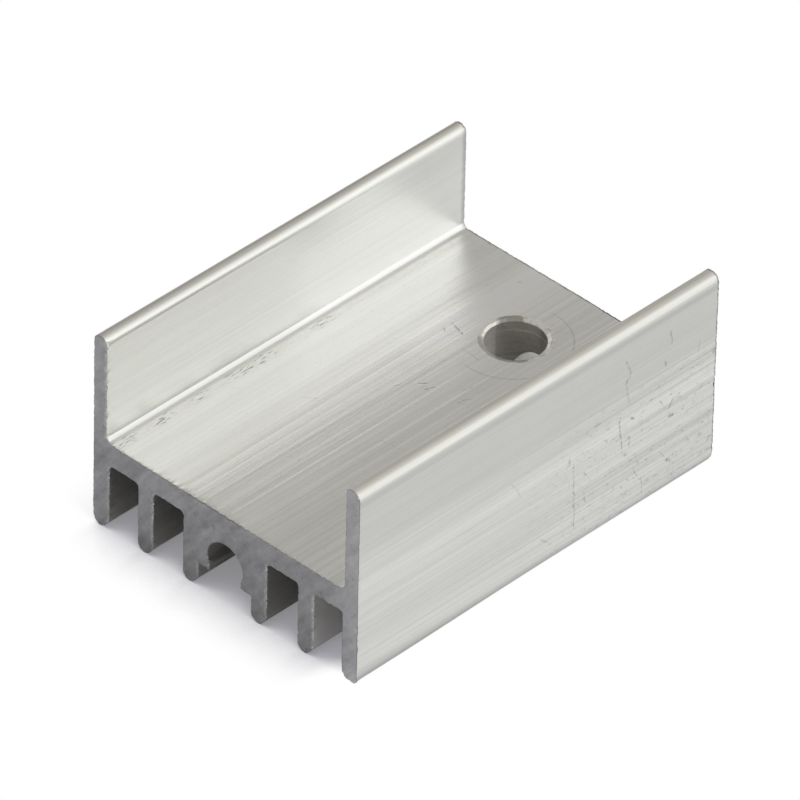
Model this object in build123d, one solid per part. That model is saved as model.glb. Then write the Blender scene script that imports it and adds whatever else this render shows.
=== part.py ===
from build123d import *
import math
import os

# Transistor heat sink: one length of extruded aluminium, sawn off square at both ends.
# Millimetres and degrees. The section lies across X with Z up, the extrusion runs along Y.
# The origin is at the middle of the length and width, on the plane the fin tips stand on.

# Overall size
width = 15.2
length = 21.0
height = 9.7

# Floor that carries the transistor, and the web under it
floor_height = 4.45
web_thickness = 1.1

# Side walls: thinner above the floor, thicker below it where they are the outermost fins
upper_wall = 0.82
lower_wall = 0.95
wall_top_radius = 0.3
floor_corner_radius = 0.4

# Inner fins, two pairs standing under the web
fin_thickness = 0.88
inner_fin_offset = 1.95
outer_fin_offset = 4.55
fin_tip_radius = 0.38
slot_corner_radius = 0.22

# Round pin channel between the middle pair of fins, open downwards between two lips
channel_radius = 1.0
channel_crown = 1.5
channel_mouth = 1.78
lip_depth = 0.76
lip_radius = 0.12
lip_root_radius = 0.1

# Screw hole drilled down through the floor, near one end, and deburred with a drill point
hole_diameter = 2.65
hole_end_distance = 4.05
deburr_diameter = 3.0
drill_point_angle = 118.0

# Heights and offsets that follow from the sizes above
slot_roof = floor_height - web_thickness
channel_height = floor_height - channel_crown - channel_radius
lip_height = channel_height - lip_depth
bay_half_width = width / 2 - upper_wall
middle_fin_face = inner_fin_offset - fin_thickness / 2
hole_position = length / 2 - hole_end_distance
deburr_depth = (deburr_diameter - hole_diameter) / 2 / math.tan(math.radians(drill_point_angle / 2))

# Distance within which a corner of the section counts as lying at a given place
corner_tolerance = 0.001


def corners_at(sketch, up, across=None):
    """Corners of the section at a height and, where one is given, at that distance from the middle."""
    found = sketch.vertices().filter_by(lambda corner: abs(corner.Y - up) < corner_tolerance)
    if across is None:
        return found
    return found.filter_by(lambda corner: abs(abs(corner.X) - across) < corner_tolerance)


# Section of the extrusion
with BuildSketch(Plane.XZ.offset(-length / 2)) as section:
    # web under the floor
    with Locations((0, slot_roof)):
        Rectangle(width, web_thickness, align=(Align.CENTER, Align.MIN))
    for side, inward in ((-1, Align.MIN), (1, Align.MAX)):
        # side wall: the thicker part below the floor, then the whole height at the upper thickness
        with Locations((side * width / 2, 0)):
            Rectangle(lower_wall, slot_roof, align=(inward, Align.MIN))
            Rectangle(upper_wall, height, align=(inward, Align.MIN))
    # two pairs of inner fins
    with Locations(*[(side * offset, 0) for side in (-1, 1) for offset in (inner_fin_offset, outer_fin_offset)]):
        Rectangle(fin_thickness, slot_roof, align=(Align.CENTER, Align.MIN))
    # boss that fills the space between the middle fins down to the lips
    with Locations((0, lip_height)):
        Rectangle(2 * inner_fin_offset, slot_roof - lip_height, align=(Align.CENTER, Align.MIN))
    # pin channel and its mouth
    with Locations((0, channel_height)):
        Circle(channel_radius, mode=Mode.SUBTRACT)
        Rectangle(channel_mouth, lip_depth, align=(Align.CENTER, Align.MAX), mode=Mode.SUBTRACT)
    # rounded corners left by the die
    fillet(corners_at(section, 0), fin_tip_radius)
    fillet(corners_at(section, height), wall_top_radius)
    fillet(corners_at(section, floor_height, bay_half_width), floor_corner_radius)
    fillet(corners_at(section, slot_roof), slot_corner_radius)
    fillet(corners_at(section, lip_height, channel_mouth / 2), lip_radius)
    fillet(corners_at(section, lip_height, middle_fin_face), lip_root_radius)

# Body, from the far cut face to the near one, with the screw hole through floor and lips
with BuildPart() as heat_sink:
    extrude(section.sketch, amount=length)
    with Locations((0, hole_position, floor_height)):
        Cylinder(
            hole_diameter / 2,
            floor_height,
            align=(Align.CENTER, Align.CENTER, Align.MAX),
            mode=Mode.SUBTRACT,
        )
        Cone(
            hole_diameter / 2,
            deburr_diameter / 2,
            deburr_depth,
            align=(Align.CENTER, Align.CENTER, Align.MAX),
            mode=Mode.SUBTRACT,
        )

os.makedirs("parts", exist_ok=True)
export_step(heat_sink.part, "parts/heat_sink.step")
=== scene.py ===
import math

import bpy
import numpy as np
from mathutils import Matrix, Vector
from mathutils.geometry import delaunay_2d_cdt


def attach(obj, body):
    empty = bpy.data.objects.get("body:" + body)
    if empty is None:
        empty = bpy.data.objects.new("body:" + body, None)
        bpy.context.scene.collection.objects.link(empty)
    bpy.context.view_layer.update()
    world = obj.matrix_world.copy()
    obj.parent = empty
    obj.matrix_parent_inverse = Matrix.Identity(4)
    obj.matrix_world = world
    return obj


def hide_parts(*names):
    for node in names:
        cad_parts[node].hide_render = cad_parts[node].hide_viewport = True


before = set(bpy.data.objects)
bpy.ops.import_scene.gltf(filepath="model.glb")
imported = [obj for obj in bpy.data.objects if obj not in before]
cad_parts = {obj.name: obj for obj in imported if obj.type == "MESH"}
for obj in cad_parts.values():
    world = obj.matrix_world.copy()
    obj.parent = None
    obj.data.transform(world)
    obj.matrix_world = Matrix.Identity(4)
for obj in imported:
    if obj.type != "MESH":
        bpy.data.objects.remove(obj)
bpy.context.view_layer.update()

# Lengths are in millimetres and become metres where a mesh is made.
MM = 0.001

# Section of the extrusion: X across, Z up, the same in every slice along Y
HALF_LENGTH = 10.5
HALF_WIDTH = 7.6
HEIGHT = 9.7
FLOOR_TOP = 4.45
SLOT_ROOF = 3.33
SLOT_WALL = 6.65
INNER_FIN = 1.95
FIN_HALF = 0.44
SLOT_CORNER_ROUND = 0.22
CHANNEL_RADIUS = 1.0
CHANNEL_HEIGHT = 1.95
LIP_TOP = 1.494
LIP_BOTTOM = 1.19
LIP_REACH = 0.89
LIP_ROUND = 0.12
LIP_ROOT_ROUND = 0.1

# Fin tips: the left-hand corner is round, the right-hand one is cut off at a slant.
# Each corner is a list of steps in from the fin's side, heights and rounding.
ROUND_TIP = [(0.0, 0.0, 0.4)]
SLANT_TIP = [(0.0, 0.42, 0.3), (0.36, 0.0, 0.26)]

# The two halves of the section differ a little. A bay corner is a list of distances from the middle,
# heights and rounding. The right one is a plain fillet, and the left one has three facets.
RIGHT_SIDE = {
    "bay_corner": [(6.74, FLOOR_TOP, 0.33)], "bay_wall": 6.74, "outer_face": 7.51, "wall_top": HEIGHT,
    "inner_top_round": 0.25, "outer_top_round": 0.43,
    "outer_fin": 4.59, "foot": [(0.0, 0.0, 0.45)], "outer_tip": SLANT_TIP, "inner_tip": ROUND_TIP,
}
LEFT_SIDE = {
    "bay_corner": [(6.1, FLOOR_TOP, 1.0), (6.5, 4.48, 0.3), (6.67, 4.535, 0.05), (6.83, 4.69, 0.1)],
    "bay_wall": 6.83, "outer_face": 7.58, "wall_top": 9.68,
    "inner_top_round": 0.38, "outer_top_round": 0.36,
    "outer_fin": 4.55, "foot": ROUND_TIP, "outer_tip": ROUND_TIP, "inner_tip": SLANT_TIP,
}

# The left wall leans out a little and is a little lower at its far end.
LEFT_LEAN = 0.01
LEFT_DROP = 0.035

# The outer faces curve in towards the table, and the right foot is fuller towards its near end.
FOOT_HEIGHT = 0.9
FOOT_CURVE = 0.05
FOOT_FULLER = 0.06

# Screw hole: the deburring point sat a little to the right of the bore
HOLE_Y = 6.45
BORE_RADIUS = 1.325
DISH_RADIUS = 1.6
DISH_DEPTH = 0.022
DEBURR_RADIUS = 1.46
DEBURR_SHIFT = 0.025
DEBURR_DEPTH = 0.11

# Ring that the deburring tool scored round the hole
RING_Y = 6.21
RING_RADIUS = 2.57

# Spacing of the mesh along straight runs, round corners and round the channel
RUN_SPACING = 0.085
ARC_SPACING = 0.05
CHANNEL_SPACING = 0.07


# The section

def half_section(side):
    """Corners of half the section and their rounding, from the floor round to the channel's mouth."""
    corners = side["bay_corner"] + [
        (side["bay_wall"], side["wall_top"], side["inner_top_round"]),
        (side["outer_face"], side["wall_top"], side["outer_top_round"]),
    ]
    corners += [(side["outer_face"] - step, z, radius) for step, z, radius in side["foot"]]
    corners += [(SLOT_WALL + step, z, radius) for step, z, radius in reversed(side["inner_tip"])]
    corners += [(SLOT_WALL, SLOT_ROOF, SLOT_CORNER_ROUND)]
    for fin in (side["outer_fin"], INNER_FIN):
        outer, inner = fin + FIN_HALF, fin - FIN_HALF
        corners += [(outer, SLOT_ROOF, SLOT_CORNER_ROUND)]
        corners += [(outer - step, z, radius) for step, z, radius in side["outer_tip"]]
        corners += [(inner + step, z, radius) for step, z, radius in reversed(side["inner_tip"])]
        corners += [(inner, SLOT_ROOF, SLOT_CORNER_ROUND)]
    # the middle fins end inside at the lips of the channel
    corners[-1] = (INNER_FIN - FIN_HALF, LIP_BOTTOM, LIP_ROOT_ROUND)
    corners += [(LIP_REACH, LIP_BOTTOM, LIP_ROUND), (LIP_REACH, LIP_TOP, 0.0)]
    return corners


def rounded_corner(before, corner, after, radius):
    """Points along the arc that rounds one corner of the section."""
    corner = Vector(corner)
    back = (Vector(before) - corner).normalized()
    ahead = (Vector(after) - corner).normalized()
    half_angle = back.angle(ahead) / 2
    centre = corner + (back + ahead).normalized() * radius / math.sin(half_angle)
    start = corner + back * radius / math.tan(half_angle) - centre
    sweep = math.pi - 2 * half_angle
    turn = -math.copysign(sweep, back.x * ahead.y - back.y * ahead.x)
    steps = max(4, round(radius * sweep / ARC_SPACING))
    return [centre + Matrix.Rotation(turn * k / steps, 2) @ start for k in range(steps + 1)]


def channel_arc():
    """Points from the channel's mouth up to its crown."""
    start = math.asin((LIP_TOP - CHANNEL_HEIGHT) / CHANNEL_RADIUS)
    steps = round(CHANNEL_RADIUS * (math.pi / 2 - start) / CHANNEL_SPACING)
    angles = np.linspace(start, math.pi / 2, steps + 1)[1:]
    return [
        Vector((CHANNEL_RADIUS * math.cos(a), CHANNEL_HEIGHT + CHANNEL_RADIUS * math.sin(a)))
        for a in angles
    ]


def half_outline(side):
    """Half the section as closely spaced points, from the middle of the floor to the channel's crown."""
    ring = [(0.0, FLOOR_TOP, 0.0)] + half_section(side) + [(LIP_REACH, LIP_TOP + 0.1, 0.0)]
    corners = [Vector(ring[0][:2])]
    for before, (x, z, radius), after in zip(ring, ring[1:], ring[2:]):
        if radius:
            corners += rounded_corner(before[:2], (x, z), after[:2], radius)
        else:
            corners.append(Vector((x, z)))
    points = [corners[0]]
    for corner in corners[1:]:
        start = points[-1]
        gap = (corner - start).length
        if gap < ARC_SPACING / 4:
            continue
        parts = max(1, round(gap / RUN_SPACING))
        points += [start.lerp(corner, k / parts) for k in range(1, parts + 1)]
    return points + channel_arc()


def section_outline():
    """The whole section, once round it."""
    right = half_outline(RIGHT_SIDE)
    left = [Vector((-p.x, p.y)) for p in reversed(half_outline(LEFT_SIDE)[1:-1])]
    return np.array([tuple(p) for p in right + left])


def unit(directions):
    """Directions with their lengths made 1."""
    return directions / np.linalg.norm(directions, axis=1)[:, None]


def outward(outline):
    """Outward direction at each point of the outline."""
    ahead = unit(np.roll(outline, -1, axis=0) - outline)
    behind = unit(outline - np.roll(outline, 1, axis=0))
    tangent = unit(ahead + behind)
    return np.stack([-tangent[:, 1], tangent[:, 0]], axis=1)


# Wear of the cut ends

# Most waves that are added up to make an edge uneven
MOST_WAVES = 28


def waviness(place, lap, seed, shortest, longest):
    """Repeatable waves round the outline, with lengths between two limits and about 1 high."""
    chance = np.random.default_rng(seed)
    counts = np.unique(np.geomspace(lap / longest, lap / shortest, MOST_WAVES).astype(int))
    total = np.zeros_like(place)
    for count in counts:
        total += np.cos(2 * np.pi * count * place / lap + chance.uniform(0, 2 * np.pi))
    return total / math.sqrt(len(counts) / 2)


def ease(value, start, end):
    """0 before start, 1 after end, with a soft step between them."""
    t = np.clip((value - start) / (end - start), 0.0, 1.0)
    return t * t * (3 - 2 * t)


def between(value, start, end, soft):
    """1 between start and end, falling softly to 0 outside them."""
    return ease(value, start - soft, start + soft) * (1 - ease(value, end - soft, end + soft))


class CutEnd:
    """How far the saw's edge has broken back along the bar, and in from each surface, round one cut face."""

    def __init__(self, outline, seed):
        step = np.linalg.norm(np.roll(outline, -1, axis=0) - outline, axis=1)
        self.lap = step.sum()
        self.place = np.concatenate([[0.0], np.cumsum(step)[:-1]])
        self.x, self.z = outline.T
        self.normal = outward(outline)
        self.seed = seed
        self.channel = between(self.x, -1.4, 1.4, 0.05) * (1 - ease(self.z, 2.98, 3.05))
        self.on_floor = ease(self.normal[:, 1], 0.9, 0.95) * between(self.z, 4.3, 4.6, 0.05)
        self.on_right_face = ease(self.x, 7.42, 7.48) * ease(self.normal[:, 0], 0.7, 0.9)
        coarse, fine = self.waves(1, 0.5, 2.5), self.waves(2, 0.18, 0.5)
        broken = np.clip(self.waves(3, 0.2, 0.9) - 0.9, 0.0, None)
        self.back = 0.012 + 0.005 * np.abs(fine) + 0.012 * broken
        self.inset = 0.004 * coarse + 0.006 * fine + 0.012 * broken
        # the saw rolled the metal over on the sides that face right
        self.lip = ease(self.normal[:, 0], 0.5, 0.9) * (1 - self.on_right_face) * (1 - self.channel)

    def waves(self, number, shortest, longest):
        """Waves round this outline, different for each number."""
        return waviness(self.place, self.lap, self.seed + number, shortest, longest)

    def wear_near(self):
        """Damage on the near cut face."""
        # the rolled edges are ragged, and the floor's edge is bitten finely all along
        self.inset += self.lip * 0.02 * self.waves(8, 0.2, 0.8)
        self.inset += self.on_floor * (0.014 + 0.018 * self.waves(4, 0.18, 0.6))
        chip = self.on_floor * between(self.x, -2.3, 0.8, 0.25) * (1 + 0.3 * self.waves(5, 0.4, 1.2))
        self.inset += 0.03 * chip
        self.back += 0.03 * chip
        rubbed = self.on_right_face * between(self.z, 0.7, 3.2, 0.5) * (1 + 0.35 * self.waves(6, 0.4, 1.5))
        self.inset += 0.02 * rubbed
        self.back += 0.04 * rubbed
        # burrs that fill out the right wall's lower corner and hang from the last slot's roof
        corner = ease(-self.normal[:, 0] * self.normal[:, 1], 0.1, 0.45) * between(self.x, 7.0, 7.6, 0.05)
        self.inset -= 0.05 * corner * (1 - ease(self.z, 0.5, 0.7))
        roof = ease(-self.normal[:, 1], 0.6, 0.9) * between(self.z, 3.1, 3.4, 0.05)
        roof *= between(self.x, 5.2, 6.5, 0.1)
        self.inset -= roof * (0.05 + 0.025 * self.waves(10, 0.25, 0.8))
        ragged = self.channel * between(self.x, -1.45, -0.8, 0.05) * between(self.z, 1.1, 1.75, 0.1)
        self.inset += 0.045 * ragged * self.waves(7, 0.18, 0.5)

    def wear_far(self):
        """Damage on the far cut face."""
        self.back += 0.025
        self.back += 0.1 * self.on_floor * between(self.x, 0.95, 2.5, 0.35)
        torn = self.on_right_face * (1 + 0.25 * self.waves(9, 0.2, 0.8))
        self.back += 0.05 * torn + 0.09 * self.on_right_face * between(self.z, 4.0, 4.3, 0.07)
        # the left corner of the bay is filed sharp
        self.inset += 0.08 * between(self.x, -6.8, -6.55, 0.08) * between(self.z, 4.4, 4.8, 0.1)
        # the lower corner of the right wall is knocked round
        height = np.clip(self.z / 0.4, 0.0, 1.0)
        self.back += self.on_right_side() * 0.4 * (1 - np.sqrt(1 - (1 - height) ** 2))

    def on_right_side(self):
        """1 on the right wall, from top to foot, and 0 elsewhere."""
        return ease(self.x, 6.5, 6.6)


# Distances from the cut face at which the section is repeated, and the gap between sections after them
CLOSE_STATIONS = [0.0, 0.03, 0.07, 0.12, 0.19, 0.29, 0.45, 0.7, 1.1, 1.7]
STATION_GAP = 1.4

# How far in from the surface the rings of a cut face lie: at its rim and edge,
# and then on the plain face, beside a rolled lip and in the channel
RIM_INSET = 0.008
EDGE_BAND = 0.035
FACE_BAND = 0.09
LIP_BAND = 0.16
CHANNEL_BAND = 0.06

# Distance along the bar over which the wear of a cut end dies away
WEAR_REACH = 0.12


def lean(points):
    """Small departures from the drawn section: the left wall and the outer faces' feet."""
    x, y, z = points.T.copy()
    on_left_wall = ease(-x, 6.6, 6.75)
    points[:, 0] -= LEFT_LEAN * on_left_wall * ease(z, FLOOR_TOP, HEIGHT)
    points[:, 2] -= LEFT_DROP * on_left_wall * ease(z, 7.0, HEIGHT) * (y + HALF_LENGTH) / (2 * HALF_LENGTH)
    foot = np.clip(1 - z / FOOT_HEIGHT, 0.0, 1.0) ** 2 * FOOT_CURVE
    points[:, 0] -= np.sign(x) * foot * ease(np.abs(x), 7.2, 7.45)
    fuller = FOOT_FULLER * ease(x, 7.05, 7.35) * (1 - ease(z, 0.15, 0.6)) * (1 - ease(y, -9.5, 1.0))
    points[:, 0] += fuller
    points[:, 2] -= fuller
    return points


def ring_at(end, side, distance, inset, back):
    """One ring of points: side is -1 for the near cut face and 1 for the far one."""
    ring = np.empty((len(end.x), 3))
    ring[:, 0] = end.x - end.normal[:, 0] * inset
    ring[:, 1] = side * (HALF_LENGTH - distance - back)
    ring[:, 2] = end.z - end.normal[:, 1] * inset
    return lean(ring)


def end_rings(end, side):
    """Rings from the middle of the cut face out over its edge and along the bar."""
    tight = end.channel
    lip_band = end.lip * (LIP_BAND - FACE_BAND) + FACE_BAND
    band = lip_band * (1 - tight) + CHANNEL_BAND * tight
    edge = EDGE_BAND * (1 - 0.3 * tight)
    rings = [
        ring_at(end, side, 0.0, end.inset + band, 0.0),
        ring_at(end, side, 0.0, end.inset + edge, 0.3 * end.back),
        ring_at(end, side, 0.0, end.inset + RIM_INSET, end.back),
    ]
    for distance in CLOSE_STATIONS[1:]:
        fade = math.exp(-distance / WEAR_REACH)
        rings.append(ring_at(end, side, distance, end.inset * fade, end.back * fade))
    return rings


def bar_mesh():
    """The extruded bar between its two saw cuts."""
    outline = section_outline()
    near, far = CutEnd(outline, 10), CutEnd(outline, 40)
    near.wear_near()
    far.wear_far()
    reach = HALF_LENGTH - CLOSE_STATIONS[-1]
    middle = np.linspace(-reach, reach, round(2 * reach / STATION_GAP) + 1)[1:-1]
    rings = end_rings(near, -1)
    rings += [ring_at(near, -1, HALF_LENGTH + y, 0.0, 0.0) for y in middle]
    rings += reversed(end_rings(far, 1))
    count = len(outline)
    points = np.concatenate(rings)
    np.clip(points[:, 0], -HALF_WIDTH, HALF_WIDTH, out=points[:, 0])
    np.clip(points[:, 1], -HALF_LENGTH, HALF_LENGTH, out=points[:, 1])
    np.clip(points[:, 2], 0.0, HEIGHT, out=points[:, 2])
    faces, finishes = [], []
    for r in range(len(rings) - 1):
        from_cut = min(r, len(rings) - 2 - r)
        finish = {0: SAWN, 1: TORN}.get(from_cut, DRAWN)
        for k in range(count):
            j = (k + 1) % count
            faces.append((r * count + k, r * count + j, (r + 1) * count + j, (r + 1) * count + k))
            finishes.append(finish)
    for first, turned in ((0, False), ((len(rings) - 1) * count, True)):
        corners = [Vector((p[0], p[2])) for p in points[first:first + count]]
        edges = [(k, (k + 1) % count) for k in range(count)]
        triangles = delaunay_2d_cdt(corners, edges, [], 1, 1e-9)[2]
        for a, b, c in triangles:
            wound = (corners[b] - corners[a]).cross(corners[c] - corners[a]) > 0
            a, b, c = (a, b, c) if wound != turned else (a, c, b)
            faces.append((first + a, first + b, first + c))
            finishes.append(SAWN)
    mesh = bpy.data.meshes.new("heat_sink")
    mesh.from_pydata((points * MM).tolist(), [], faces)
    mesh.polygons.foreach_set("material_index", finishes)
    lip = mesh.attributes.new("rolled_lip", "FLOAT", "POINT")
    values = np.zeros(len(points), np.float32)
    for r in (1, 2):
        values[r * count:(r + 1) * count] = near.lip
        values[(len(rings) - 1 - r) * count:(len(rings) - r) * count] = far.lip
    lip.data.foreach_set("value", values)
    return mesh


# Points round the drill, the gap between its rings down the bore, and how uneven the dished rim is
DRILL_POINTS = 144
BORE_RING_GAP = 0.05
DISH_UNEVEN = 0.016


def drill_mesh():
    """What the drill and its deburring point take away."""
    chance = np.random.default_rng(7)
    around = DRILL_POINTS
    angles = np.arange(around) * 2 * np.pi / around
    waves = [(n, chance.uniform(0, 2 * np.pi)) for n in (3, 5, 8, 13, 21, 34)]
    ragged = sum(np.cos(n * angles + phase) for n, phase in waves) / 2.5
    # height above the floor, radius and unevenness of the dished rim, from the outside in
    dish = [
        (HEIGHT - FLOOR_TOP, DISH_RADIUS + 0.3, 0.0),
        (0.03, DISH_RADIUS + 0.17, 0.5),
        (0.0, DISH_RADIUS, 1.0),
        (-DISH_DEPTH, DEBURR_RADIUS, 1.2),
        (-0.5 * (DISH_DEPTH + DEBURR_DEPTH), 0.5 * (DEBURR_RADIUS + BORE_RADIUS) + 0.02, 0.8),
    ]
    rings = []
    for up, radius, rough in dish:
        rings.append((FLOOR_TOP + up, radius + DISH_UNEVEN * rough * ragged, DEBURR_SHIFT))
    # the drill left shallow rings down the bore
    wall = np.arange(FLOOR_TOP - 0.19, 1.0, -BORE_RING_GAP)
    for height in [FLOOR_TOP - DEBURR_DEPTH, *wall, -1.0]:
        groove = 0.0022 * math.sin(height * 31) + 0.002 * math.sin(height * 53 + 1)
        rings.append((height, np.full(around, BORE_RADIUS + groove), 0.0))
    points = []
    for height, radii, shift in rings:
        for angle, radius in zip(angles, radii):
            points.append((shift + radius * math.cos(angle), HOLE_Y + radius * math.sin(angle), height))
    faces = []
    for r in range(len(rings) - 1):
        for k in range(around):
            j = (k + 1) % around
            faces.append((r * around + k, (r + 1) * around + k, (r + 1) * around + j, r * around + j))
    faces.append(tuple(range(around)))
    faces.append(tuple(reversed(range((len(rings) - 1) * around, len(rings) * around))))
    mesh = bpy.data.meshes.new("drill")
    mesh.from_pydata((np.array(points) * MM).tolist(), [], faces)
    mesh.polygons.foreach_set("material_index", [DRILLED] * len(faces))
    return mesh


# The finishes

# Places of the finishes in the mesh's material slots
DRAWN, SAWN, TORN, DRILLED = range(4)


class Wire:
    """A node's output that takes part in Python expressions."""

    def __init__(self, shading, socket):
        self.shading = shading
        self.socket = socket

    def math(self, operation, first, second):
        return self.shading.node("ShaderNodeMath", {"operation": operation}, {0: first, 1: second})

    def __add__(self, other):
        return self.math("ADD", self, other)

    def __radd__(self, other):
        return self.math("ADD", other, self)

    def __sub__(self, other):
        return self.math("SUBTRACT", self, other)

    def __rsub__(self, other):
        return self.math("SUBTRACT", other, self)

    def __mul__(self, other):
        return self.math("MULTIPLY", self, other)

    def __rmul__(self, other):
        return self.math("MULTIPLY", other, self)

    def __pow__(self, other):
        return self.math("POWER", self, other)

    def __abs__(self):
        return self.math("ABSOLUTE", self, 0.0)


class Shading:
    """The nodes of one finish, or of the studio's light."""

    def __init__(self, owner):
        owner.use_nodes = True
        self.tree = owner.node_tree
        self.tree.nodes.clear()

    def node(self, kind, settings=None, sockets=None, output=0):
        """One node: its settings first, then the values or wires of its sockets."""
        made = self.tree.nodes.new(kind)
        for name, value in (settings or {}).items():
            setattr(made, name, value)
        for name, value in (sockets or {}).items():
            if isinstance(value, Wire):
                self.tree.links.new(value.socket, made.inputs[name])
            else:
                made.inputs[name].default_value = value
        return None if output is None else Wire(self, made.outputs[output])

    def parts(self, vector):
        """The X, Y and Z of a vector."""
        apart = self.node("ShaderNodeSeparateXYZ", {}, {0: vector}).socket.node
        return [Wire(self, socket) for socket in apart.outputs]

    def place(self):
        """Where the surface is on the part, in millimetres along X, Y and Z."""
        spot = self.node("ShaderNodeTexCoord", {}, {}, "Object")
        return [part * (1 / MM) for part in self.parts(spot)]

    def noise(self, x, y, z, detail=2.0, rough=0.5):
        """Cloudy noise about 0, mostly within 0.5 of it, one cloud to a unit of x, y and z."""
        spot = self.node("ShaderNodeCombineXYZ", {}, {0: x, 1: y, 2: z})
        sockets = {"Vector": spot, "Scale": 1.0, "Detail": detail, "Roughness": rough}
        return (self.node("ShaderNodeTexNoise", {}, sockets) - 0.5) * 2

    def step(self, value, start, end, first, last):
        """The first number before start, the last after end, with a soft step between them."""
        settings = {"interpolation_type": "SMOOTHSTEP"}
        return self.node("ShaderNodeMapRange", settings, {0: value, 1: start, 2: end, 3: first, 4: last})

    def ease(self, value, start, end):
        """0 before start, 1 after end, with a soft step between them."""
        return self.step(value, start, end, 0.0, 1.0)

    def fade(self, value, start, end):
        """1 before start, 0 after end, with a soft step between them."""
        return self.step(value, start, end, 1.0, 0.0)

    def between(self, value, start, end, soft):
        """1 between start and end, falling softly to 0 outside them."""
        return self.ease(value, start - soft, start + soft) * self.fade(value, end - soft, end + soft)

    def shade(self, colour, tone):
        """A colour made lighter or darker."""
        return self.node("ShaderNodeVectorMath", {"operation": "SCALE"}, {0: colour, "Scale": tone})

    def blend(self, first, second, part):
        """The first colour turning into the second."""
        return self.node("ShaderNodeMix", {"data_type": "RGBA"}, {0: part, 6: first, 7: second}, 2)

    def distance(self, spot, middle, direction):
        """How far a spot lies from a place, either way along a direction."""
        settings = {"operation": "DOT_PRODUCT"}
        facing = self.node("ShaderNodeVectorMath", settings, {0: spot, 1: (*direction, 0.0)}, "Value")
        return abs(facing - (middle[0] * direction[0] + middle[1] * direction[1]))

    def marks(self, along, across, listed):
        """Straight marks on a face, each with its start, end, width and depth."""
        spot = self.node("ShaderNodeCombineXYZ", {}, {0: along, 1: across})
        total = 0
        for start, end, width, depth in listed:
            half = math.dist(start, end) / 2
            middle = ((start[0] + end[0]) / 2, (start[1] + end[1]) / 2)
            run, rise = (end[0] - middle[0]) / half, (end[1] - middle[1]) / half
            ends = self.fade(self.distance(spot, middle, (run, rise)), half - MARK_END, half + MARK_END)
            sides = self.fade(self.distance(spot, middle, (-rise, run)), width * 0.3, width)
            total = ends * sides * depth + total
        return total

    def metal(self, colour, roughness, relief):
        """Bare metal, with its relief in millimetres."""
        bump = self.node("ShaderNodeBump", {}, {"Strength": 1.0, "Distance": MM, "Height": relief})
        sockets = {"Base Color": colour, "Metallic": 1.0, "Roughness": roughness, "Normal": bump}
        surface = self.node("ShaderNodeBsdfPrincipled", {}, sockets)
        self.node("ShaderNodeOutputMaterial", {}, {"Surface": surface}, None)


# Length over which a mark dies away at its ends, each way
MARK_END = 0.05

# Direction of the saw's strokes on the cut faces, across and up
STROKE_ACROSS = 0.64
STROKE_UP = 0.77

# Fixed direction on the part that runs to the photograph's right, along X and Y
RIGHTWARD_X = 0.727
RIGHTWARD_Y = 0.687

# Dark dashes pressed into the floor beside the left wall: start and end along Y, and how dense they are
DASHES = [(-10.4, -9.3, 0.8), (-8.3, -7.2, 1.0), (-6.0, -5.1, 0.7), (-4.0, -1.3, 0.8), (1.1, 2.0, 0.8)]

# Marks on the floor by X and Y, and on the right outer face by Y and Z: start, end, width, depth
FLOOR_MARKS = [
    ((-2.58, 5.37), (-1.68, 5.08), 0.05, 1.0),
    ((-2.57, 4.85), (-2.29, 4.68), 0.06, 0.8),
    ((-0.63, 1.4), (-0.45, 1.68), 0.06, 0.9),
    ((-0.29, 1.26), (-0.01, 1.67), 0.06, 0.9),
    ((1.31, 1.6), (1.52, 2.15), 0.04, 0.7),
    ((0.93, 2.4), (1.0, 2.85), 0.04, 0.6),
    ((-1.13, 3.1), (-1.01, 3.32), 0.06, 0.6),
    ((-1.1, 4.4), (0.0, 4.31), 0.03, 0.5),
    ((0.87, 7.92), (1.28, 8.28), 0.03, 0.3),
    ((-2.6, 9.3), (-2.5, 9.4), 0.09, 0.6),
    ((-3.4, -2.75), (-2.9, -2.23), 0.03, 0.5),
    ((-5.87, -4.32), (-5.5, -4.03), 0.03, 0.5),
    ((0.85, -2.42), (1.88, -2.31), 0.03, 0.4),
    ((-1.3, 0.37), (-1.2, 0.85), 0.04, 0.5),
]
FACE_MARKS = [
    ((4.97, 8.18), (5.31, 7.35), 0.08, 0.5),
    ((5.31, 7.35), (5.02, 6.92), 0.09, 0.6),
    ((5.1, 6.85), (5.25, 5.87), 0.08, 0.35),
    ((4.72, 5.24), (4.88, 3.47), 0.06, 1.0),
    ((5.35, 5.06), (5.56, 4.88), 0.09, 1.0),
    ((5.3, 4.17), (5.37, 3.58), 0.05, 0.6),
    ((5.58, 2.43), (5.86, 1.79), 0.05, 0.6),
    ((6.16, 1.52), (6.22, 0.72), 0.05, 0.5),
    ((8.0, 4.75), (7.62, 4.3), 0.07, 1.0),
    ((7.1, 5.0), (7.4, 4.5), 0.05, 0.6),
    ((7.65, 3.93), (7.98, 3.87), 0.1, 1.0),
    ((7.64, 8.38), (7.7, 7.59), 0.06, 0.6),
    ((7.33, 6.92), (7.43, 6.6), 0.07, 0.7),
    ((9.4, 6.9), (9.36, 6.31), 0.05, 0.5),
    ((7.2, 2.31), (7.5, 1.9), 0.05, 0.5),
    ((7.62, 1.71), (7.9, 1.46), 0.1, 0.9),
    ((8.79, 2.28), (8.93, 1.98), 0.06, 0.6),
    ((2.01, 4.48), (2.18, 1.13), 0.055, 0.7),
    ((2.66, 3.69), (2.8, 3.51), 0.07, 0.7),
    ((2.64, 2.73), (2.85, 2.07), 0.07, 0.6),
    ((1.81, 4.87), (1.8, 4.52), 0.07, 0.6),
    ((-1.65, 5.5), (-1.0, 4.4), 0.05, 0.4),
    ((0.2, 1.6), (0.8, 1.0), 0.07, 0.5),
]


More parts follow.
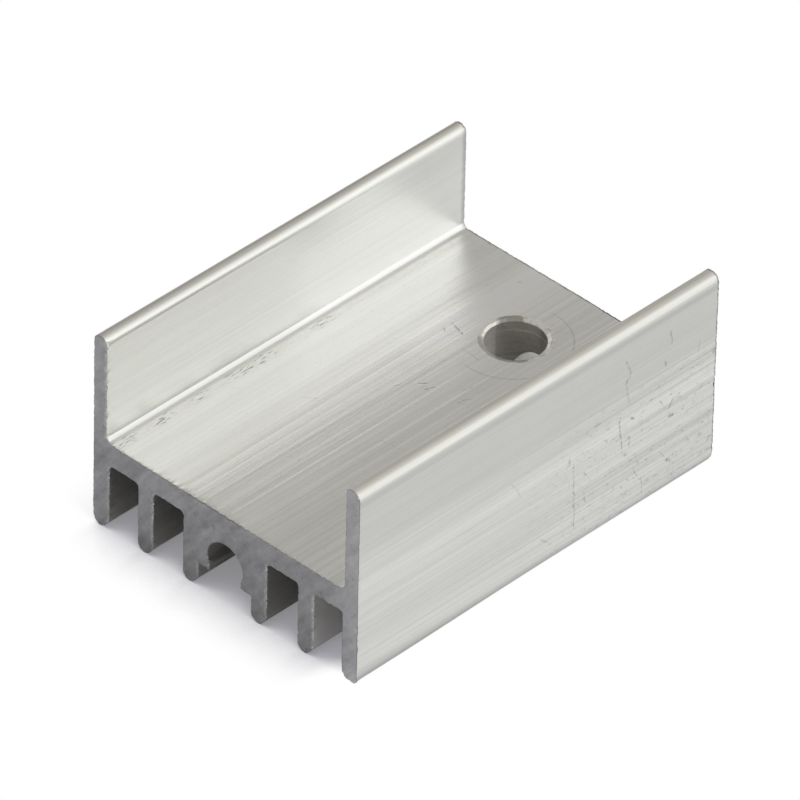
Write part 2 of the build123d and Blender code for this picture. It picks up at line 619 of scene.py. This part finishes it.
def drawn_aluminium(name):
    """Aluminium from the die: fine lines along the bar, painted shade in the slots, handled on the outer
    faces, with painted highlights and shade elsewhere.
    """
    material = bpy.data.materials.new(name)
    f = Shading(material)
    x, y, z = f.place()
    broad = f.noise(x * 1.1, y * 0.012, z * 1.1)
    fine = f.noise(x * 5.5, y * 0.03, z * 5.5, 3.0)
    hair = f.noise(x * 17, y * 0.1, z * 17)
    cloud = f.noise(x * 0.35, y * 0.25, z * 0.35)
    grain = f.noise(x * 9, y * 6, z * 9)
    outer = f.ease(abs(x), 7.15, 7.3)
    high = f.ease(z, 6.0, 6.8)
    slots = f.fade(z, 3.3, 3.42) * f.fade(abs(x), 6.68, 6.9)
    channel = f.fade(abs(x), 1.2, 1.3) * slots
    on_floor = f.between(z, 4.4, 4.5, 0.02)
    on_left_wall = f.between(x, -6.9, -6.5, 0.1) * f.ease(z, 4.5, 4.6)
    # the lines are strongest down the middle of the floor and low on the outer faces
    lines = 1.1 - 0.5 * on_left_wall + 1.1 * f.ease(x, -2.4, -1.4) * on_floor
    lines = lines + outer * (1 - high) * (0.8 + 1.9 * f.ease(y, -6.0, 8.0)) - outer * high * 0.1
    on_tops = f.ease(z, 9.3, 9.5)
    hairy = hair * (0.04 + 0.03 * outer + 0.11 * on_left_wall + 0.035 * on_floor)
    hairy = hairy + f.ease(hair, 0.2, 0.34) * on_left_wall * 0.06
    tone = 1 + (broad * 0.035 + fine * 0.06 + hairy) * (lines + on_tops) + cloud * 0.04 + grain * 0.03
    # painted shade: the outer face is darker high up and darkest in a line under its bright rounded edge,
    # with a little painted light lower down
    under_edge = 0.09 * f.between(z, 9.0, 9.25, 0.09)
    tone = tone * (1 + outer * (0.05 * f.between(z, 3.4, 5.6, 0.8) - 0.08 * high - under_edge))
    # painted highlight along the middle of the right wall's top
    tone = tone * (1 + 0.18 * on_tops * f.ease(x, 7.05, 7.2) * f.fade(x, 7.25, 7.5))
    # the floor is brighter where the left wall shines on it
    band = f.between(x, -3.0, -1.5, 0.8) * (0.05 + 0.15 * f.ease(y, 2.0, 5.0))
    tone = tone * (1 + on_floor * (0.035 * f.fade(x, 0.0, 2.5) + band))
    # painted shade in the slots, a little more in the channel; the last slot gets painted light instead, and
    # the channel's open end beyond the hole neither
    last_slot = f.ease(x, 4.9, 5.1)
    open_end = channel * f.ease(y, HOLE_Y - 0.5, HOLE_Y + 0.5)
    tone = tone * (1 - slots * (0.3 + 0.05 * channel - 0.62 * last_slot) * (1 - open_end))
    # painted shade: the outer faces are darkest at their feet
    tone = tone * (1 - 0.42 * outer * f.fade(z, 0.1, 0.8))
    # painted light low on the left wall towards its far end, and a line of painted shade under its corner
    low_rear = 0.1 * f.ease(y, -1.0, 2.0) * f.fade(z, 6.5, 9.0)
    tone = tone * (1 + on_left_wall * (0.01 + low_rear))
    tone = tone * (1 - 0.06 * f.between(x, -6.63, -6.5, 0.04) * f.fade(z, 4.6, 4.7))
    # painted shade on the outer side of its top
    tone = tone * (1 - 0.12 * on_tops * f.fade(x, -7.3, -7.1))
    # painted shade: dark edges along the far saw cut
    from_cut = HALF_LENGTH - y + 0.06 * f.noise(x * 4, y, z * 4, 3.0)
    tone = tone * (1 - 0.35 * on_left_wall * f.fade(from_cut, 0.1, 0.36))
    edges = on_floor + on_tops + outer * f.ease(x, 7.0, 7.2) * (1 - on_tops)
    tone = tone * (1 - 0.55 * edges * f.fade(from_cut, 0.05, 0.17))
    # dark dashes beside the left wall
    dash = f.ease(f.noise(x * 15, y * 1.7, 0.0, 3.0, 0.6), 0.06, 0.18)
    where = f.between(x, -6.5, -6.1, 0.14) * f.between(z, 4.3, 4.6, 0.05)
    rows = 0.15
    for start, end, dense in DASHES:
        rows = f.between(y, start, end, 0.25) * dense + rows
    pits = dash * where * rows
    # scratches and knocks wander a little from a straight line
    on_face = f.ease(x, 7.42, 7.46)
    drift = f.noise(x * 2.2, y * 2.2, z * 2.2, 4.0, 0.7) * 0.17
    marks = f.marks(x + drift, y, FLOOR_MARKS) * on_floor + f.marks(y + drift, z, FACE_MARKS) * on_face
    marks = marks * (0.75 + 1.8 * f.noise(x * 7, y * 7, z * 7))
    # handled patches with fine dark scuffs towards the rear of the outer face
    handled = on_face * f.ease(y, -4.0, 6.0) * (1 - high)
    patch = f.ease(f.noise(x, y * 2.4, z * 1.6, 4.0, 0.6), 0.1, 0.4) * handled
    scuffs = f.ease(f.noise(x * 5, y * 2.6, z * 6, 3.0, 0.7), 0.18, 0.32) * handled
    # fine dark specks on the floor
    specks = f.ease(grain, 0.27, 0.4) * on_floor
    # ring left on the floor by the deburring tool
    radius = ((x * x) + (y - RING_Y) * (y - RING_Y)) ** 0.5
    ring = f.fade(abs(radius - RING_RADIUS), 0.01, 0.06) * on_floor * f.ease(x, -0.5, 0.1)
    tone = tone * (1 - pits * 0.5) * (1 - marks * 0.42) * (1 - ring * 0.15) * (1 - patch * 0.06)
    tone = tone * (1 - scuffs * 0.26) * (1 - specks * 0.12)
    relief = (broad * 0.014 + fine * 0.004 + hair * 0.0008) * lines + grain * 0.0006
    relief = relief - (pits + marks) * 0.006 - ring * 0.004 - patch * 0.003 - scuffs * 0.003
    roughness = 0.34 + outer * 0.02 + slots * 0.15 + on_tops * f.ease(x, 6.0, 7.0) * 0.07
    roughness = roughness + cloud * 0.05 + fine * 0.04
    # painted shade: the outer faces get a darker copy of the colour, and the tops a warm tint for their
    # painted highlights
    colour = f.blend((0.89, 0.895, 0.862, 1.0), (0.82, 0.83, 0.796, 1.0), outer)
    colour = f.blend(colour, (0.885, 0.885, 0.825, 1.0), on_tops)
    f.metal(f.shade(colour, tone), roughness, relief)
    return material


def sawn_aluminium(name):
    """Aluminium where the saw cut it: matt, mottled, with faint slanting strokes, a rolled lip with a
    painted highlight, and painted light up the walls.
    """
    material = bpy.data.materials.new(name)
    f = Shading(material)
    x, y, z = f.place()
    mottle = f.noise(x * 1.3, y, z * 1.3, 3.0)
    fine = f.noise(x * 5, y, z * 5, 3.0, 0.6)
    along = x * STROKE_ACROSS + z * STROKE_UP
    aside = z * STROKE_ACROSS - x * STROKE_UP
    stroke = f.noise(along * 0.7, y, aside * 3.0, 3.0)
    pits = f.ease(f.noise(x * 4, y, z * 4 + 7, 2.0), 0.36, 0.5)
    lip = f.node("ShaderNodeAttribute", {"attribute_name": "rolled_lip"}, {}, "Fac")
    # painted light: the cut face is lighter up the walls and towards the right wall, and the rolled lip gets
    # a painted highlight
    walls = f.ease(z, 4.5, 6.0) * 0.14 + f.ease(x, 5.6, 7.0) * (0.2 - 0.07 * f.ease(z, 3.0, 6.0))
    tone = 1.04 + mottle * 0.26 + fine * 0.26 + stroke * 0.38 + lip * (0.3 + fine * 0.8) + walls
    tone = tone * (1 - pits * 0.25)
    relief = mottle * 0.012 + fine * 0.01 + stroke * 0.016 - pits * 0.008
    f.metal(f.shade((0.41, 0.41, 0.425), tone), 0.58 + fine * 0.08, relief)
    return material


def torn_aluminium(name):
    """The torn rim of the saw cuts: painted shade at the far end, painted glints on the near end's rolled
    lip.
    """
    material = bpy.data.materials.new(name)
    f = Shading(material)
    x, y, z = f.place()
    speck = f.noise(x * 6, y * 6, z * 6, 3.0, 0.6)
    lip = f.node("ShaderNodeAttribute", {"attribute_name": "rolled_lip"}, {}, "Fac")
    # painted shade: the rim is darker at the far end
    near_end = f.fade(y, 0.0, 1.0)
    # painted glints: bright specks at the near end, more of them on the rolled lip
    bright = f.ease(speck + lip * 0.15, 0.2, 0.45) * near_end
    # a burred spot stands in the left corner of the bay, with a painted glint on it
    burr_glint = f.between(x, -6.85, -6.5, 0.08) * f.between(z, 4.45, 4.8, 0.1) * near_end
    tone = 0.8 + near_end * 0.45 + bright * 1.7 + lip * 0.4 + burr_glint * 1.2
    f.metal(f.shade((0.28, 0.28, 0.28), tone), 0.6 - bright * 0.2, speck * 0.01)
    return material


def drilled_aluminium(name):
    """Aluminium where the drill cut it: rings round the bore, rough on the deburred rim, with painted light
    and shade round the hole.
    """
    material = bpy.data.materials.new(name)
    f = Shading(material)
    x, y, z = f.place()
    ring = f.noise(x * 0.5, y * 0.5, z * 11, 3.0)
    fine = f.noise(x * 6, y * 6, z * 6, 3.0)
    rim = f.ease(z, 4.31, 4.35)
    groove = f.between(z, 3.9, 3.96, 0.03)
    # places round the hole by two fixed directions: to the photograph's right, and away
    across = x * RIGHTWARD_X + (y - HOLE_Y) * RIGHTWARD_Y
    away = (y - HOLE_Y) * RIGHTWARD_X - x * RIGHTWARD_Y
    # painted light and shade on the rim: its far side is bright at the left, then in painted shade, then
    # ragged with painted glints to the right its near side is in painted shade up to the ragged part
    behind = f.ease(away, 0.0, 0.3)
    painted_rim_shade = rim * (behind * f.between(across, -0.72, 0.3, 0.1) + (1 - behind) * f.fade(across, 0.3, 0.9))
    ragged = rim * f.ease(across, 0.0, 0.5)
    # a band of painted light runs down the bore at the left, and its right-hand part is in painted shade
    painted_light_strip = f.fade(across, -0.86, -0.8)
    shaded = f.ease(across, 0.85, 1.15) * (1 - rim)
    tone = 0.86 + painted_light_strip * 0.14 - shaded * 0.25 + ring * 0.14 * (1 - rim)
    tone = tone + fine * (0.1 + ragged * 0.6) + ragged * 0.14 + groove * 0.2 - painted_rim_shade * 0.35
    roughness = 0.55 + fine * 0.1 - rim * 0.1
    relief = ring * 0.003 + fine * (0.003 + ragged * 0.003) - groove * 0.006
    f.metal(f.shade((0.98, 0.96, 0.9), tone), roughness, relief)
    return material


# The part

# Angle, in degrees, from which an edge of the mesh is shown sharp
SHARP_ANGLE = 28


def drilled_bar(finishes):
    """The bar with its screw hole, in its four finishes."""
    bar = bpy.data.objects.new("drawn_bar", bar_mesh())
    drill = bpy.data.objects.new("drill", drill_mesh())
    for thing in (bar, drill):
        bpy.context.scene.collection.objects.link(thing)
        for finish in finishes:
            thing.data.materials.append(finish)
    cut = bar.modifiers.new("screw_hole", "BOOLEAN")
    cut.operation = "DIFFERENCE"
    cut.solver = "EXACT"
    cut.object = drill
    bpy.context.view_layer.update()
    mesh = bpy.data.meshes.new_from_object(bar.evaluated_get(bpy.context.evaluated_depsgraph_get()))
    mesh.name = "heat_sink_body"
    bar.modifiers.clear()
    bar.data = mesh
    bpy.data.objects.remove(drill)
    mesh.polygons.foreach_set("use_smooth", [True] * len(mesh.polygons))
    mesh.set_sharp_from_angle(angle=math.radians(SHARP_ANGLE))
    bar.name = "heat_sink_body"
    return bar


body = drilled_bar([
    drawn_aluminium("drawn_aluminium"),
    sawn_aluminium("sawn_aluminium"),
    torn_aluminium("torn_aluminium"),
    drilled_aluminium("drilled_aluminium"),
])
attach(body, "root")
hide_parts("heat_sink")


# The studio

# The table, in metres: its colour in reflections, and the colour of its shadow in the picture
TABLE_SIZE = 3.0
TABLE_COLOUR = (0.87, 0.865, 0.9, 1.0)
SHADE_COLOUR = (0.77, 0.755, 0.99, 1.0)
SHADOW_REACH = 0.005

# The room's light: even and dim, with a broad bright side to the right and rear,
# and a little less of it overhead and from the far left
ROOM_LEVEL = 0.47
ROOM_BRIGHT = 0.78
LESS_OVERHEAD = 0.1
LESS_FAR_LEFT = 0.12
BRIGHT_TOWARDS = Vector((0.76, 0.576, 0.25)).normalized()


def white_table(name):
    """Table that reads white in the picture and in the metal, and keeps the part's shadow."""
    material = bpy.data.materials.new(name)
    f = Shading(material)
    x, y, z = f.place()
    clear = f.node("ShaderNodeAmbientOcclusion", {"samples": 8}, {"Distance": SHADOW_REACH}, "AO")
    # no shadow falls to the right or to the rear, where the light comes from
    lit_side = f.ease(x, 5.2, 7.5)
    lit_rear = f.ease(y, 7.5, 9.0)
    in_picture = 0.2 + 0.8 * f.ease(clear + 0.56 * lit_side, 0.3, 0.79)
    far_off = f.ease((x * x + y * y) ** 0.5, 15.0, 120.0)
    in_metal = f.ease(clear + 0.5 * lit_rear + 0.6 * lit_side, 0.5, 0.95)
    in_metal = in_metal * (0.36 + 0.16 * lit_side + 0.3 * far_off)
    camera = f.node("ShaderNodeLightPath", {}, {}, "Is Camera Ray")
    glossy = f.node("ShaderNodeLightPath", {}, {}, "Is Glossy Ray")
    plain = f.node("ShaderNodeBsdfDiffuse", {}, {"Color": TABLE_COLOUR})
    violet = f.node("ShaderNodeBsdfDiffuse", {}, {"Color": SHADE_COLOUR})
    lit = f.node("ShaderNodeMixShader", {}, {0: camera, 1: plain, 2: violet})
    white = f.node("ShaderNodeEmission", {}, {"Color": (1.0, 1.0, 1.0, 1.0), "Strength": 1.0})
    top = f.node("ShaderNodeMixShader", {}, {0: camera * in_picture + glossy * in_metal, 1: lit, 2: white})
    f.node("ShaderNodeOutputMaterial", {}, {"Surface": top}, None)
    return material


def table():
    """Plain white table under the part."""
    half = TABLE_SIZE / 2
    mesh = bpy.data.meshes.new("table")
    corners = [(-half, -half, 0), (half, -half, 0), (half, half, 0), (-half, half, 0)]
    mesh.from_pydata(corners, [], [(0, 1, 2, 3)])
    mesh.materials.append(white_table("white_table"))
    thing = bpy.data.objects.new("table", mesh)
    bpy.context.scene.collection.objects.link(thing)


def studio_room():
    """Soft light from all round, brightest over a broad region to the right and rear."""
    world = bpy.data.worlds.new("studio_room")
    bpy.context.scene.world = world
    f = Shading(world)
    direction = f.node("ShaderNodeTexCoord", {}, {}, "Generated")
    x, y, z = f.parts(direction)
    towards = x * BRIGHT_TOWARDS.x + y * BRIGHT_TOWARDS.y + z * BRIGHT_TOWARDS.z
    bright = f.ease(towards, 0.43, 1.13)
    less = LESS_OVERHEAD * f.ease(z, 0.75, 0.98) + LESS_FAR_LEFT * f.fade(x, -0.75, -0.52)
    glow = ROOM_LEVEL + ROOM_BRIGHT * bright - less
    tint = f.blend((1.0, 0.97, 0.93, 1.0), (0.99, 1.0, 1.02, 1.0), bright)
    light = f.node("ShaderNodeBackground", {}, {"Color": f.shade(tint, glow), "Strength": 1.0})
    f.node("ShaderNodeOutputWorld", {}, {"Surface": light}, None)


table()
studio_room()


# The camera

# Fitted to the photograph: angles in degrees, lengths in metres, the lens in widths of the picture
CAMERA_AZIMUTH = 43.3994
CAMERA_ELEVATION = 37.5628
CAMERA_ROLL = 1.3877
CAMERA_DISTANCE = 0.569698
CAMERA_ASIDE = 0.00025357
CAMERA_RAISED = 0.0001932
CAMERA_TARGET = Vector((0.0, -0.00003, 0.005))
LENS_IN_WIDTHS = 13946.85 / 800


def photograph_camera():
    """Camera where the photograph was taken from."""
    azimuth = math.radians(CAMERA_AZIMUTH)
    elevation = math.radians(CAMERA_ELEVATION)
    roll = math.radians(CAMERA_ROLL)
    back = Vector((
        math.sin(azimuth) * math.cos(elevation),
        -math.cos(azimuth) * math.cos(elevation),
        math.sin(elevation),
    ))
    level = Vector((math.cos(azimuth), math.sin(azimuth), 0.0))
    upright = back.cross(level)
    right = level * math.cos(roll) + upright * math.sin(roll)
    up = upright * math.cos(roll) - level * math.sin(roll)
    lens = bpy.data.cameras.new("camera")
    lens.lens = LENS_IN_WIDTHS * lens.sensor_width
    lens.clip_start = 0.01
    lens.clip_end = 20.0
    thing = bpy.data.objects.new("camera", lens)
    bpy.context.scene.collection.objects.link(thing)
    place = CAMERA_TARGET + back * CAMERA_DISTANCE - right * CAMERA_ASIDE - up * CAMERA_RAISED
    thing.matrix_world = Matrix.Translation(place) @ Matrix((right, up, back)).transposed().to_4x4()
    bpy.context.scene.camera = thing


photograph_camera()
bpy.context.scene.view_settings.view_transform = "Standard"
